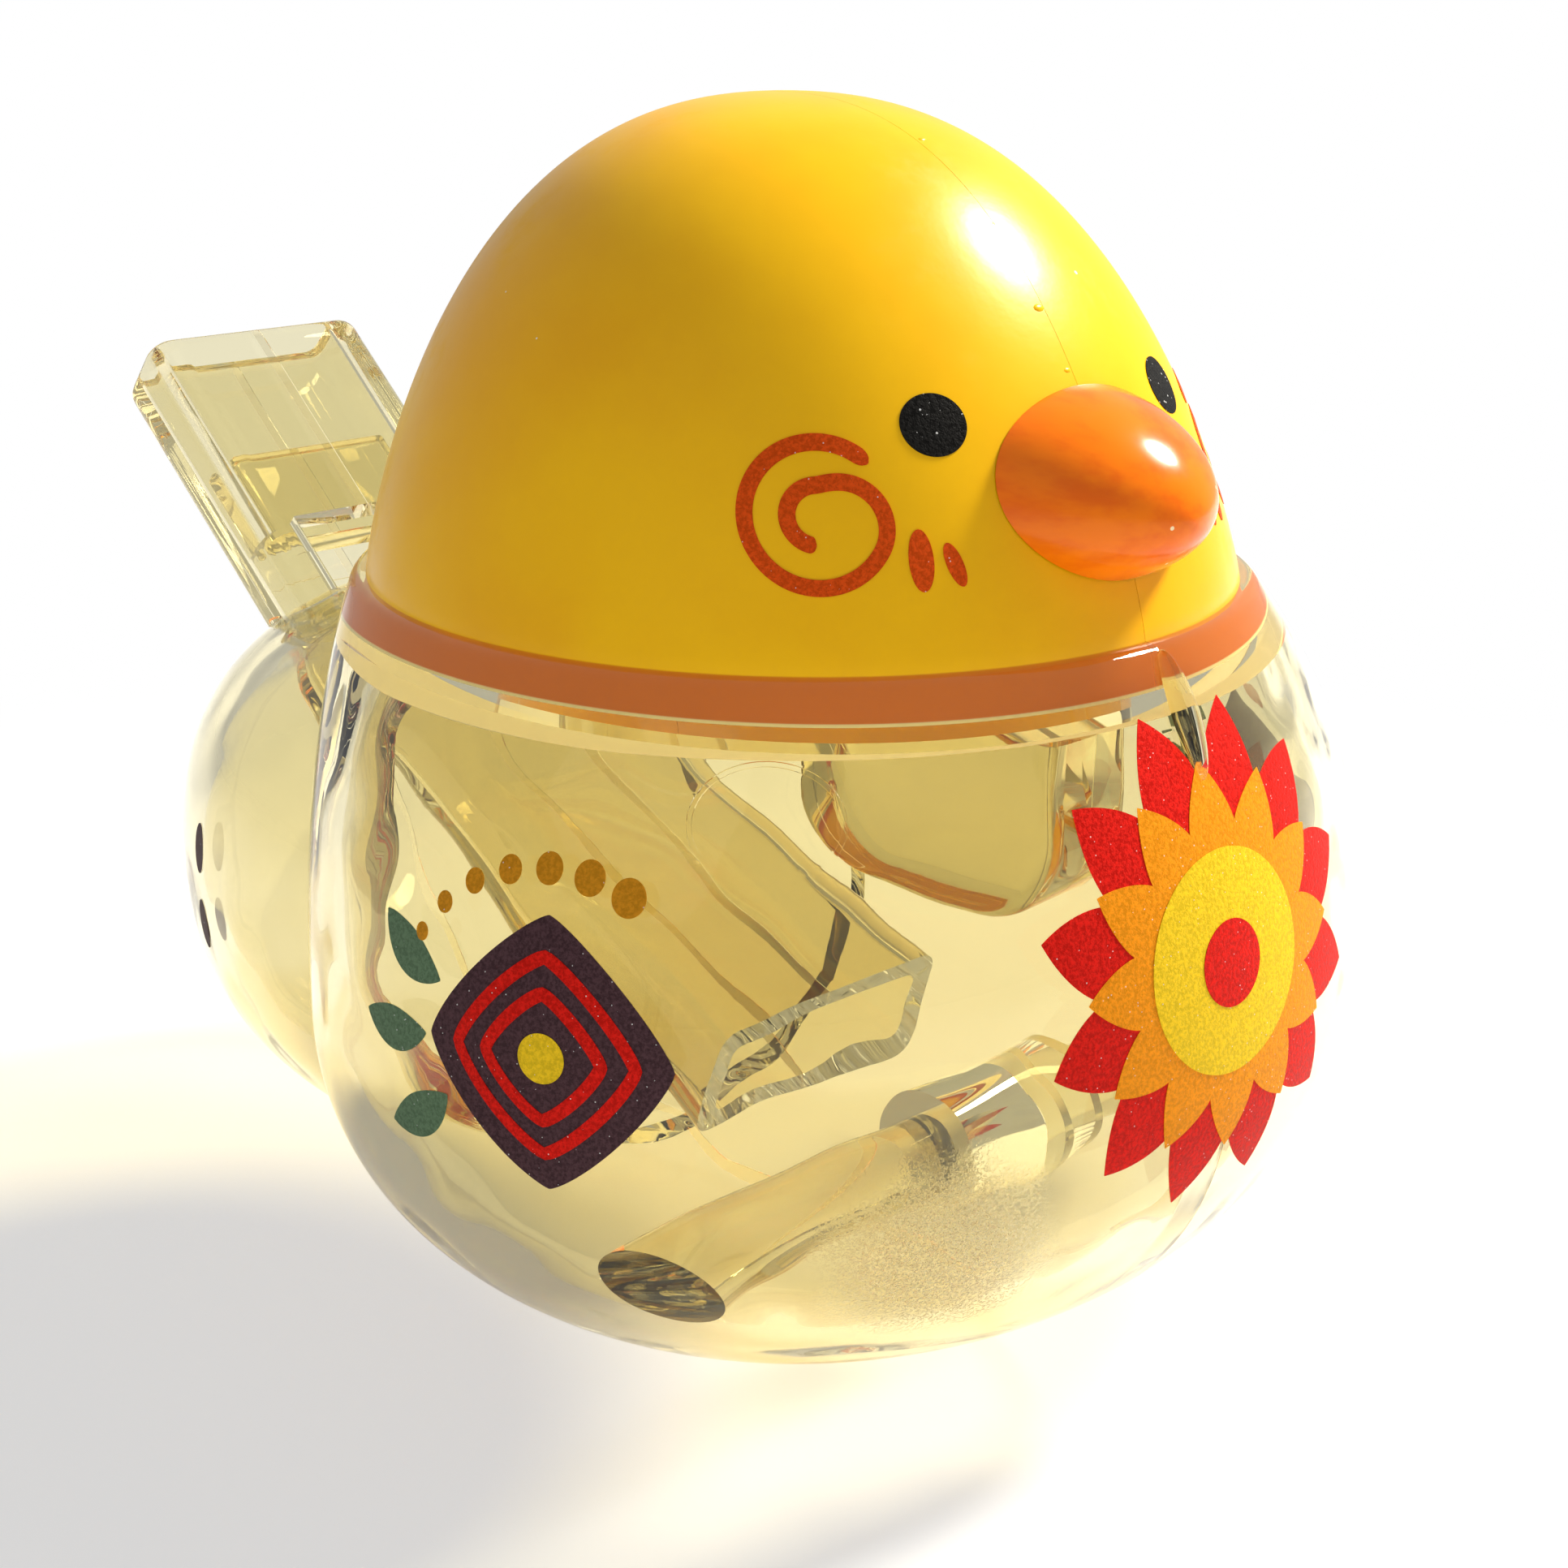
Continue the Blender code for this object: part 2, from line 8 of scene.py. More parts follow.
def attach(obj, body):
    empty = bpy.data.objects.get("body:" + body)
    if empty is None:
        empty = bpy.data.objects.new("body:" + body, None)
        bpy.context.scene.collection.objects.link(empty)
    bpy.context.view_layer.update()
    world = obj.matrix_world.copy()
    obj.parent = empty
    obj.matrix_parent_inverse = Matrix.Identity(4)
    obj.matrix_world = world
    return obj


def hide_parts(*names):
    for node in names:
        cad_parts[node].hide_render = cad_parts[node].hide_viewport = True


# A clear water whistle in the shape of a bird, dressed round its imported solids
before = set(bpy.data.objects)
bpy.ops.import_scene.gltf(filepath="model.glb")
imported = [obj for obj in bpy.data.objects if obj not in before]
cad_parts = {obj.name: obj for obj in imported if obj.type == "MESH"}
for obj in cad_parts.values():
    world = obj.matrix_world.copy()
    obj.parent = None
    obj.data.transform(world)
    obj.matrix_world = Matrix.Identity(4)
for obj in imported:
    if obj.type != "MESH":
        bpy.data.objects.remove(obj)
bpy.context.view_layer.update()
print("frame loaded")

mm = 0.001
standX = 11.794  # the frame's origin lies this many mm behind the bird's own
overcut = 2.0  # how far a cutting form runs past what it cuts
scene = bpy.context.scene


# One socket of a shader, with Python's operators on it
class Wave:
    def __init__(self, tree, socket):
        self.tree, self.socket = tree, socket

    def math(self, operation, *values):
        return makeNode(self.tree, "ShaderNodeMath", dict(operation=operation), dict(enumerate(values)))

    def __add__(self, other): return self.math("ADD", self, other)
    def __radd__(self, other): return self.math("ADD", other, self)
    def __sub__(self, other): return self.math("SUBTRACT", self, other)
    def __rsub__(self, other): return self.math("SUBTRACT", other, self)
    def __mul__(self, other): return self.math("MULTIPLY", self, other)
    def __rmul__(self, other): return self.math("MULTIPLY", other, self)
    def __truediv__(self, other): return self.math("DIVIDE", self, other)
    def __rtruediv__(self, other): return self.math("DIVIDE", other, self)
    def __pow__(self, other): return self.math("POWER", self, other)
    def over(self, other): return self.math("GREATER_THAN", self, other)
    def under(self, other): return self.math("LESS_THAN", self, other)
    def most(self, other): return self.math("MAXIMUM", self, other)

    # 0 below low, 1 above high and smooth between
    def ramp(self, low, high):
        return makeNode(self.tree, "ShaderNodeMapRange", dict(interpolation_type="SMOOTHSTEP", clamp=True),
                        {"Value": self, "From Min": low, "From Max": high})


# Links a socket to a value that varies, or sets the one that doesn't
def fill(tree, socket, value):
    if isinstance(value, Wave):
        tree.links.new(value.socket, socket)
    elif socket.type == "RGBA":
        socket.default_value = (*value, 1.0)
    else:
        socket.default_value = value


# Makes any node: its settings go in first, then the values or links of its sockets
def makeNode(tree, kind, settings=None, sockets=None, out=0):
    node = tree.nodes.new(kind)
    for name, value in (settings or {}).items():
        setattr(node, name, value)
    for name, value in (sockets or {}).items():
        fill(tree, node.inputs[name], value)
    return Wave(tree, node.outputs[out])


# A material with its Principled shader, Object coordinates and the few fields that finishes share
class Paint:
    def __init__(self, name, **constants):
        self.material = bpy.data.materials.new(name)
        self.material.use_nodes = True
        self.tree = self.material.node_tree
        self.shader = self.tree.nodes["Principled BSDF"]
        self.place = self.make("ShaderNodeTexCoord", out="Object")
        for socket, value in constants.items():
            self.put(socket.replace("_", " "), value)

    def make(self, kind, settings=None, sockets=None, out=0):
        return makeNode(self.tree, kind, settings, sockets, out)

    def put(self, name, value):
        fill(self.tree, self.shader.inputs[name], value)

    # Mixes the Principled shader with another one
    def mix(self, factor, other):
        own = Wave(self.tree, self.shader.outputs[0])
        mixed = self.make("ShaderNodeMixShader", {}, {0: factor, 1: own, 2: other})
        self.tree.links.new(mixed.socket, self.tree.nodes["Material Output"].inputs["Surface"])

    def noise(self, size, detail=3.0, roughness=0.5, place=None):
        return self.make("ShaderNodeTexNoise", {}, {"Vector": place or self.place, "Scale": 1 / (size * mm),
                                                    "Detail": detail, "Roughness": roughness})

    # Distance to the nearest of random points about this far apart, in shares of that distance
    def specks(self, size):
        return self.make("ShaderNodeTexVoronoi", dict(feature="F1"), {"Vector": self.place, "Scale": 1 / (size * mm)})

    def axis(self, name):
        return self.make("ShaderNodeSeparateXYZ", {}, {"Vector": self.place}, name)

    def blend(self, factor, first, second):
        return self.make("ShaderNodeMix", dict(data_type="RGBA"), {0: factor, 6: first, 7: second}, 2)

    def bump(self, height, depth):
        self.put("Normal", self.make("ShaderNodeBump", {}, {"Height": height, "Distance": depth * mm}, "Normal"))


# The forms below are all in the bird's own millimetres
chest = dict(wideZ=18.7, halfLength=25.5, halfWidth=30.0, forward=4.4, depth=19.9, curve=2.1, rimZ=38.8,
             neckForward=0.5, rimRadius=23.0, rimRound=0.45, wall=1.8, wave=0.16, segments=224)
rump = dict(back=20.0, middleZ=17.9, halfLength=25.0, halfWidth=21.0, halfHeight=16.8, curve=2.4, wave=0.16)
collar = dict(skirtDepth=2.6, ledgeThick=1.0, ledgeReach=3.0, headFit=-0.02)  # the skirt is pressed into the collar
head = dict(radius=21.55, stretch=1.035, lean=1.1, topZ=62.6, wall=1.7, rise=1.57, crown=2.32, flare=0.75,
            segments=224)
ledgeZ = chest["rimZ"] - collar["skirtDepth"]


def superCurve(share, power):
    return max(0.0, 1.0 - abs(share) ** power) ** (1.0 / power)


def depthTo(radius, widest, power, height):
    return height / (1.0 - (radius / widest) ** power) ** (1.0 / power)


# Each of these gives the centre's X and the half length and half width of a level cut
def chestAxes(z, inset=0.0):
    long, wide = chest["halfLength"] - inset, chest["halfWidth"] - inset
    power = chest["curve"]
    if z <= chest["wideZ"]:
        narrow = superCurve((chest["wideZ"] - z) / (chest["depth"] - inset), power)
        return chest["forward"], long * narrow, wide * narrow
    up, rise = z - chest["wideZ"], chest["rimZ"] - chest["wideZ"]
    longDepth = depthTo(chest["rimRadius"] * head["stretch"], chest["halfLength"], power, rise)
    wideDepth = depthTo(chest["rimRadius"], chest["halfWidth"], power, rise)
    centre = chest["forward"] + (chest["neckForward"] - chest["forward"]) * (up / rise) ** 2
    return centre, long * superCurve(up / longDepth, power), wide * superCurve(up / wideDepth, power)


def rumpAxes(z, inset=0.0):
    narrow = superCurve((z - rump["middleZ"]) / (rump["halfHeight"] - inset), rump["curve"])
    return -rump["back"], (rump["halfLength"] - inset) * narrow, (rump["halfWidth"] - inset) * narrow


def headAxes(z, inset=0.0):
    top = head["topZ"] - inset
    share = min(1.0, max(0.0, (z - chest["rimZ"]) / (top - chest["rimZ"])))
    radius = (head["radius"] - inset) * (1.0 - share ** head["rise"]) ** (1.0 / head["crown"])
    radius += head["flare"] * (1.0 - share) ** 4
    return chest["neckForward"] - head["lean"] * share, radius * head["stretch"], radius


# A form's outer face, so that prints can follow it
class Skin:
    turnStep, riseStep = 0.01, 0.05

    def __init__(self, axes):
        self.axes = axes

    def point(self, turn, z):
        centre, long, wide = self.axes(z)
        return Vector((centre + long * math.cos(turn), wide * math.sin(turn), z))

    def lifted(self, turn, z, lift):
        step = self.turnStep
        around = self.point(turn + step, z) - self.point(turn - step, z)
        upward = self.point(turn, z + step) - self.point(turn, z - step)
        return self.point(turn, z) + around.cross(upward).normalized() * lift

    # Returns place(across, up, lift), which wraps a flat drawing round the skin at this spot
    def stamp(self, turn, z, mirrored=False):
        step, rise = self.turnStep, self.riseStep
        middle = self.point(turn, z)
        across = (self.point(turn + step, z) - self.point(turn - step, z)).normalized()
        upward = (self.point(turn, z + rise) - self.point(turn, z - rise)).normalized()

        def place(u, v, lift):
            spot = middle + across * (-u if mirrored else u) + upward * v
            centre, long, wide = self.axes(spot.z)
            return self.lifted(math.atan2(spot.y / wide, (spot.x - centre) / long), spot.z, lift)
        return place


headSkin, chestSkin, rumpSkin = Skin(headAxes), Skin(chestAxes), Skin(rumpAxes)


# A thin slab along path(share), width(share) wide, between two lifts off the skin
def bandForm(place, path, width, low, high, steps=150, across=4, closed=False):
    bm = bmesh.new()
    bmesh.ops.create_grid(bm, x_segments=steps, y_segments=across, size=0.5)
    reach = 0.004  # how far ahead and behind the path's direction is read

    def spot(co, lift):
        share = co.x + 0.5
        before, after = share - reach, share + reach
        if not closed:
            before, after = max(0.0, before), min(1.0, after)
        ahead = Vector(path(after)) - Vector(path(before))
        side = Vector((-ahead.y, ahead.x)).normalized()
        here = Vector(path(share)) + side * co.y * width(share)
        return place(here.x, here.y, lift)
    drawn = {vert: vert.co.copy() for vert in bm.verts}
    made = bmesh.ops.extrude_face_region(bm, geom=bm.faces[:], use_keep_orig=True)
    ends = {vert for vert in bm.verts if abs(abs(vert.co.x) - 0.5) < 1e-6}
    for vert in [item for item in made["geom"] if isinstance(item, bmesh.types.BMVert)]:
        vert.co = spot(vert.co.copy(), high)
    for vert, co in drawn.items():
        vert.co = spot(co, low)
    if closed:
        caps = [face for face in bm.faces if all(vert in ends for vert in face.verts)]
        bmesh.ops.delete(bm, geom=caps, context="FACES_ONLY")
        bmesh.ops.remove_doubles(bm, verts=bm.verts[:], dist=1e-4)
    bmesh.ops.recalc_face_normals(bm, faces=bm.faces)
    return bm


def warp(bm, move):
    for vert in bm.verts:
        vert.co = move(vert.co.copy())
    return bm


# The slow unevenness of a moulded wall
def unevenness(spot):
    return noise.noise(spot * 0.13) + 0.4 * noise.noise(spot * 0.31)


# Spins a profile of (radius, height) pairs once round the upright axis
def turned(profile, segments):
    bm = bmesh.new()
    last = bm.verts.new((profile[0][0], 0.0, profile[0][1]))
    for radius, height in profile[1:]:
        vert = bm.verts.new((radius, 0.0, height))
        bm.edges.new((last, vert))
        last = vert
    bmesh.ops.spin(bm, geom=bm.verts[:] + bm.edges[:], cent=(0, 0, 0), axis=(0, 0, 1), angle=math.tau,
                   steps=segments, use_merge=True)
    bmesh.ops.remove_doubles(bm, verts=bm.verts, dist=1e-5)
    return bm


# A closed form from the unit lathe, widened at each height by its axes
def levelForm(axes, profile, segments, inset=0.0, wave=0.0):
    def move(co):
        centre, long, wide = axes(co.z, inset)
        spot = Vector((centre + co.x * long, co.y * wide, co.z))
        return spot + Vector((co.x, co.y, 0.0)) * wave * unevenness(spot)
    return warp(turned(profile, segments), move)


def upright(levels):
    return [(0.0, levels[0])] + [(1.0, z) for z in levels] + [(0.0, levels[-1])]


def bowlLevels(bottom, top, lower, upper):
    start = math.acos((chest["wideZ"] - bottom) / chest["depth"])
    turns = [start + (math.pi / 2 - start) * i / lower for i in range(lower)]
    rise = [chest["wideZ"] - chest["depth"] * math.cos(turn) for turn in turns]
    return rise + [chest["wideZ"] + (top - chest["wideZ"]) * i / upper for i in range(upper + 1)]


def chestForm():
    round, rim, steps = chest["rimRound"], chest["rimZ"], 5
    profile = upright(bowlLevels(0.0, rim - round, 44, 30))[:-1]
    for i in range(1, steps + 1):
        turn = math.pi / 2 * i / steps
        profile.append((1.0 - round * (1 - math.cos(turn)) / chest["rimRadius"], rim - round * (1 - math.sin(turn))))
    return levelForm(chestAxes, profile + [(0.0, rim)], chest["segments"])


def rumpForm(inset, wave=0.0):
    bm = bmesh.new()
    bmesh.ops.create_uvsphere(bm, u_segments=160, v_segments=96, radius=1.0)
    power = 2 / rump["curve"]

    def move(co):
        flat = math.hypot(co.x, co.y)
        narrow = flat ** power / flat if flat > 1e-6 else 0.0
        height = math.copysign(abs(co.z) ** power, co.z)
        spot = Vector((-rump["back"] + (rump["halfLength"] - inset) * co.x * narrow,
                       (rump["halfWidth"] - inset) * co.y * narrow,
                       rump["middleZ"] + (rump["halfHeight"] - inset) * height))
        return spot + co * wave * unevenness(spot)
    return warp(bm, move)


def domeForm(inset, bottom, rows=56):
    top, base = head["topZ"] - inset, chest["rimZ"]
    levels = [bottom] + [base + (top - base) * math.sin(math.pi / 2 * i / rows) for i in range(rows)]
    return levelForm(headAxes, upright(levels)[:-1] + [(0.0, top)], head["segments"], inset)


def cylinderForm(radius, start, end, segments=64):
    start, end = Vector(start), Vector(end)
    bm = bmesh.new()
    bmesh.ops.create_cone(bm, cap_ends=True, segments=segments, radius1=radius, radius2=radius,
                          depth=(end - start).length)
    turn = (end - start).to_track_quat("Z", "Y").to_matrix().to_4x4()
    bm.transform(Matrix.Translation((start + end) / 2) @ turn)
    return bm


def sectionPlace(x, z, slope):
    side, normal = Vector((0, 1, 0)), Vector((math.sin(slope), 0, math.cos(slope)))
    ahead = Vector((math.cos(slope), 0, -math.sin(slope)))
    turn = Matrix((side, normal, ahead)).transposed().to_4x4()
    return Matrix.Translation((x, 0, z)) @ turn


# Draws a rounded rectangle along a path of (x, z, slope, width, height)
def ductForm(stations, radius, mouthRound=0.0):
    x, z, slope, width, height = stations[0]
    bm = bmesh.new()
    bmesh.ops.create_grid(bm, x_segments=1, y_segments=1, size=0.5)
    bmesh.ops.scale(bm, vec=(width, height, 1.0), verts=bm.verts)
    bmesh.ops.bevel(bm, geom=bm.verts[:], offset=radius, segments=8, profile=0.5, affect="VERTICES", material=-1)
    here = sectionPlace(x, z, slope)
    bm.transform(here)
    firstRing = bm.edges[:]
    face = mouth = bm.faces[:][0]
    for x, z, slope, nextWidth, nextHeight in stations[1:]:
        back, there = here.inverted(), sectionPlace(x, z, slope)
        made = bmesh.ops.extrude_face_region(bm, geom=[face], use_keep_orig=True)
        if face is not mouth:
            bmesh.ops.delete(bm, geom=[face], context="FACES_ONLY")
        face = [item for item in made["geom"] if isinstance(item, bmesh.types.BMFace)][0]
        for vert in face.verts:
            local = back @ vert.co
            local.x += math.copysign((nextWidth - width) / 2, local.x)
            local.y += math.copysign((nextHeight - height) / 2, local.y)
            vert.co = there @ local
        width, height, here = nextWidth, nextHeight, there
    if mouthRound:
        bmesh.ops.bevel(bm, geom=firstRing, offset=mouthRound, segments=6, profile=0.5, affect="EDGES", material=-1)
    bmesh.ops.recalc_face_normals(bm, faces=bm.faces)
    return bm


def addSolid(name, bm):
    bmesh.ops.recalc_face_normals(bm, faces=bm.faces)
    mesh = bpy.data.meshes.new(name)
    bm.to_mesh(mesh)
    bm.free()
    solid = bpy.data.objects.new(name, mesh)
    scene.collection.objects.link(solid)
    return solid


# Joins and cuts closed solids in the order given, and removes the tools
def carve(name, bm, steps):
    target = addSolid(name, bm)
    for operation, tool in steps:
        change = target.modifiers.new(operation, "BOOLEAN")
        change.operation, change.object, change.solver = operation, tool, "MANIFOLD"
    made = bpy.data.meshes.new_from_object(target.evaluated_get(bpy.context.evaluated_depsgraph_get()))
    bm = bmesh.new()
    bm.from_mesh(made)
    for item in [target] + [tool for operation, tool in steps]:
        bpy.data.objects.remove(item, do_unlink=True)
    bpy.data.meshes.remove(made)
    bmesh.ops.dissolve_degenerate(bm, dist=1e-4, edges=bm.edges)
    return bm


# Moves a finished form to metres and the frame's origin, gives it its finish, hangs it on the root and hides the
# parts that it replaces
def addPiece(name, bm, paint, replaced=(), sharp=32.0):
    bm.transform(Matrix.Scale(mm, 4) @ Matrix.Translation((standX, 0, 0)))
    piece = addSolid(name, bm)
    piece.data.materials.append(paint.material)
    piece.data.shade_smooth()
    piece.data.set_sharp_from_angle(angle=math.radians(sharp))
    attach(piece, "root")
    if replaced:
        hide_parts(*replaced)
    piece.visible_diffuse = paint is not clear  # soft light reaches what the clear parts hold
    return piece


# A block that fills the space on one side of a gap along the seam
def halfBlock(side, gap, size=200.0):
    bm = bmesh.new()
    bmesh.ops.create_cube(bm, size=size)
    bm.transform(Matrix.Translation((0, side * (size - gap) / 2, 0)))
    return addSolid("half block", bm)


# Clear plastic, frosted in a small patch low on the breast
def clearPlastic():
    look = dict(tint=(0.855, 0.795, 0.545), lampTint=(0.975, 0.955, 0.87), patch=(25.3, -15.0, 12.5),
                patchReach=(2.0, 7.0), frost=0.35)
    paint = Paint("clear plastic", Base_Color=look["tint"], Transmission_Weight=1.0, IOR=1.45)
    x, y, z = paint.axis("X"), paint.axis("Y"), paint.axis("Z")
    patchX, patchY, patchZ = look["patch"]
    reach = ((x - (patchX + standX) * mm) ** 2 + (y - patchY * mm) ** 2 + (z - patchZ * mm) ** 2) ** 0.5 / mm
    frost = (1 - reach.ramp(*look["patchReach"])) * paint.noise(0.16, 2.0, 0.7).ramp(0.5, 0.66)
    paint.put("Roughness", frost * look["frost"])
    paint.bump(frost, 0.02)
    # Lamps shine through to what is inside and below
    lamp = paint.make("ShaderNodeLightPath", out="Is Shadow Ray")
    paint.mix(lamp, paint.make("ShaderNodeBsdfTransparent", {}, {"Color": look["lampTint"]}))
    return paint


# Yellow plastic; below the collar's rim its skirt is painted a deeper orange as painted shade, and its foot on the
# ledge a paler cream
def headPlastic():
    # The skirt colour is painted shade: a deeper orange for the skirt where it sits deep in the collar
    look = dict(yellow=(0.94, 0.52, 0.001), deep=(0.86, 0.42, 0.001), skirt=(0.66, 0.155, 0.0),
                under=(0.85, 0.70, 0.30), dust=(0.95, 0.90, 0.75), skirtTop=(38.5, 38.8), skirtFoot=(0.1, 0.2))
    paint = Paint("yellow plastic", Specular_IOR_Level=0.20, Coat_Weight=0.05, Coat_Roughness=0.10)
    height = paint.axis("Z") / mm
    tone = paint.blend(paint.noise(16.0, 4.0).ramp(0.35, 0.7), look["yellow"], look["deep"])
    # Painted shade: below the rim the skirt takes the deeper orange skirt colour
    tone = paint.blend(1 - height.ramp(*look["skirtTop"]), tone, look["skirt"])
    low, high = look["skirtFoot"]
    tone = paint.blend(1 - height.ramp(ledgeZ + low, ledgeZ + high), tone, look["under"])
    dust = paint.specks(4.2).under(0.032) * paint.noise(11.0).over(0.5)
    paint.put("Base Color", paint.blend(dust, tone, look["dust"]))
    scuff = paint.noise(5.0, 6.0, 0.75).ramp(0.5, 0.75)
    paint.put("Roughness", 0.30 + scuff * 0.14 + dust * 0.3)
    paint.bump(paint.noise(7.0, 3.0) * 0.05 + paint.noise(0.35, 2.0) * 0.004 + dust * 0.03, 1.0)
    return paint


# Orange plastic with faint flow streaks
def beakPlastic():
    look = dict(orange=(0.95, 0.20, 0.0), deep=(0.84, 0.135, 0.0), dust=(1.0, 0.75, 0.45))
    paint = Paint("orange plastic", Specular_IOR_Level=0.22, Coat_Weight=0.06, Coat_Roughness=0.06)
    stretch = paint.make("ShaderNodeMapping", {}, {"Vector": paint.place, "Scale": (0.25, 1.0, 1.6)})
    streak = paint.noise(3.0, 4.0, 0.6, stretch).ramp(0.4, 0.7)
    dust = paint.specks(2.6).under(0.04)
    paint.put("Base Color", paint.blend(dust, paint.blend(streak, look["orange"], look["deep"]), look["dust"]))
    paint.put("Roughness", 0.17 + paint.noise(2.5, 5.0, 0.7).ramp(0.5, 0.75) * 0.12)
    paint.bump(paint.noise(4.0, 3.0) * 0.04 + paint.noise(0.4) * 0.002, 1.0)
    return paint


# Printing ink: grainy velvety colour with fine smoother specks, painted paler in the colour as painted glints
def ink(name, colour, grain=0.25, glintShare=0.10):
    paint = Paint(name, Specular_IOR_Level=0.06)
    light = tuple(part * (1 + grain) + 0.004 for part in colour)
    dark = tuple(part * (1 - grain) for part in colour)
    paintedGlint = tuple(0.6 + part * 0.4 for part in colour)
    speck = paint.noise(0.20, 3.0, 0.7).ramp(0.35, 0.65)
    spark = paint.specks(0.34).under(glintShare) * paint.noise(0.6).over(0.5)
    # Painted highlight: the specks get a paler colour as glints, besides their lower roughness and bump
    paint.put("Base Color", paint.blend(spark, paint.blend(speck, dark, light), paintedGlint))
    paint.put("Roughness", 0.42 - spark * 0.2 + speck * 0.15)
    paint.bump(speck * 0.012 + spark * 0.02, 1.0)
    return paint


clear = clearPlastic()
yellow = headPlastic()
orange = beakPlastic()
inks = {
    "black": ink("black ink", (0.004, 0.0035, 0.003), 0.3, 0.16),
    "cheek": ink("cheek ink", (0.66, 0.070, 0.003), 0.18),
    "red": ink("red ink", (0.62, 0.008, 0.003), 0.22),
    "amber": ink("amber ink", (0.80, 0.27, 0.004), 0.15),
    "yellow": ink("yellow ink", (0.78, 0.52, 0.012), 0.15),
    "plum": ink("plum ink", (0.060, 0.028, 0.034), 0.3),
    "green": ink("green ink", (0.10, 0.17, 0.095), 0.2),
    "ochre": ink("ochre ink", (0.56, 0.23, 0.008), 0.15),
}
print("finishes ready")

# The clear body: tail with its windway and window, voice tube, cross post, lug, nub and seam
tail = dict(slope=math.radians(41.0), mouthBack=49.95, mouthZ=45.9, width=15.8, thick=6.0, length=23.5,
            round=1.7, mouthRound=1.0)
wind = dict(width=12.2, height=3.2, roof=1.4, round=0.7, blockStart=8.8, blockLength=6.5, windway=1.1, fit=0.3,
            blockRound=0.4, blockEdge=0.25, windowLength=4.4, windowWidth=11.0, lipDepth=2.0, rampLength=5.5,
            rampRise=2.8)
tube = dict(width=17.0, height=6.8, wall=1.3, round=1.6, endX=2.0, endZ=11.6, bendBack=26.0, bendZ=22.9,
            straight=5.9, tailFit=0.4, bendSteps=8)
post = dict(x=14.8, z=11.1, radius=2.2, cup=3.4, cupLength=5.0, pin=1.6, pinLength=4.0, pinFit=0.25,
            reach=30.0, wallDepth=0.9, wallTop=34.0)
lug = dict(front=20.6, length=17.5, height=12.5, thick=5.5, round=5.0, edge=0.8, fit=0.1)
nub = dict(width=1.5, height=6.4, depth=1.9, drop=3.1, sink=0.05, taper=1.6, shoulder=0.25)
seam = dict(bodyGap=0.04, headGap=0.03, ribWidth=1.5, ribDepth=0.45, ribRoot=0.5, ribLow=8.0, ribRise=26.5,
            ribRadius=22.0)
pinMark = dict(turn=-0.84, z=33.2, across=3.45, up=2.75, width=0.24, depth=0.14, above=0.3)
blockEnd = wind["blockStart"] + wind["blockLength"]


def tailSpot(along, depth):
    slope = tail["slope"]
    return (-tail["mouthBack"] + along * math.cos(slope) - depth * math.sin(slope),
            tail["mouthZ"] - along * math.sin(slope) - depth * math.cos(slope))


def tailDuct(start, end, depth, width, height, radius, mouthRound=0.0):
    stations = [(*tailSpot(along, depth), tail["slope"], width, height) for along in (start, end)]
    return ductForm(stations, radius, mouthRound)


# The window behind the windway, with its ramped lip
def windowForm():
    lip, floor, above = blockEnd + wind["windowLength"], wind["roof"] + wind["height"] / 2, -tail["thick"]
    outline = [(blockEnd, above), (blockEnd, floor), (lip, floor), (lip, wind["lipDepth"]),
               (lip + wind["rampLength"], wind["lipDepth"] - wind["rampRise"]), (lip + wind["rampLength"], above)]
    bm = bmesh.new()
    verts = []
    for along, depth in outline:
        x, z = tailSpot(along, depth)
        verts.append(bm.verts.new((x, -wind["windowWidth"] / 2, z)))
    face = bm.faces.new(verts)
    made = bmesh.ops.extrude_face_region(bm, geom=[face], use_keep_orig=True)
    moved = [item for item in made["geom"] if isinstance(item, bmesh.types.BMVert)]
    bmesh.ops.translate(bm, vec=(0, wind["windowWidth"], 0), verts=moved)
    bmesh.ops.recalc_face_normals(bm, faces=bm.faces)
    return bm


# The voice tube, from the tail round its bend and down into the water chamber
def tubeForm(inset):
    bend = math.atan2(tube["bendZ"] - tube["endZ"], tube["endX"] + tube["bendBack"])
    wide, high = tail["width"] - tube["tailFit"], tail["thick"] - tube["tailFit"]
    firstX, firstZ = tailSpot(blockEnd, tail["thick"] / 2)
    fromX, fromZ = tailSpot(blockEnd + tube["straight"], tail["thick"] / 2)
    toX, toZ = -tube["bendBack"], tube["bendZ"]
    # The elbow's control point lies where the two straight runs would meet
    steep, flat = math.tan(tail["slope"]), math.tan(bend)
    meetX = (fromZ - toZ + steep * fromX - flat * toX) / (steep - flat)
    meetZ = fromZ - steep * (meetX - fromX)
    stations = [(firstX, firstZ, tail["slope"], wide, high)]
    for i in range(tube["bendSteps"] + 1):
        t = i / tube["bendSteps"]
        x = (1 - t) ** 2 * fromX + 2 * t * (1 - t) * meetX + t * t * toX
        z = (1 - t) ** 2 * fromZ + 2 * t * (1 - t) * meetZ + t * t * toZ
        slope = tail["slope"] + (bend - tail["slope"]) * t
        stations.append((x, z, slope, wide + (tube["width"] - wide) * t, high + (tube["height"] - high) * t))
    past = overcut if inset else 0.0
    stations.append((tube["endX"] + past * math.cos(bend), tube["endZ"] - past * math.sin(bend), bend,
                     tube["width"], tube["height"]))
    stations = [(x, z, slope, width - 2 * inset, height - 2 * inset) for x, z, slope, width, height in stations]
    return ductForm(stations, tube["round"] - inset / 2)


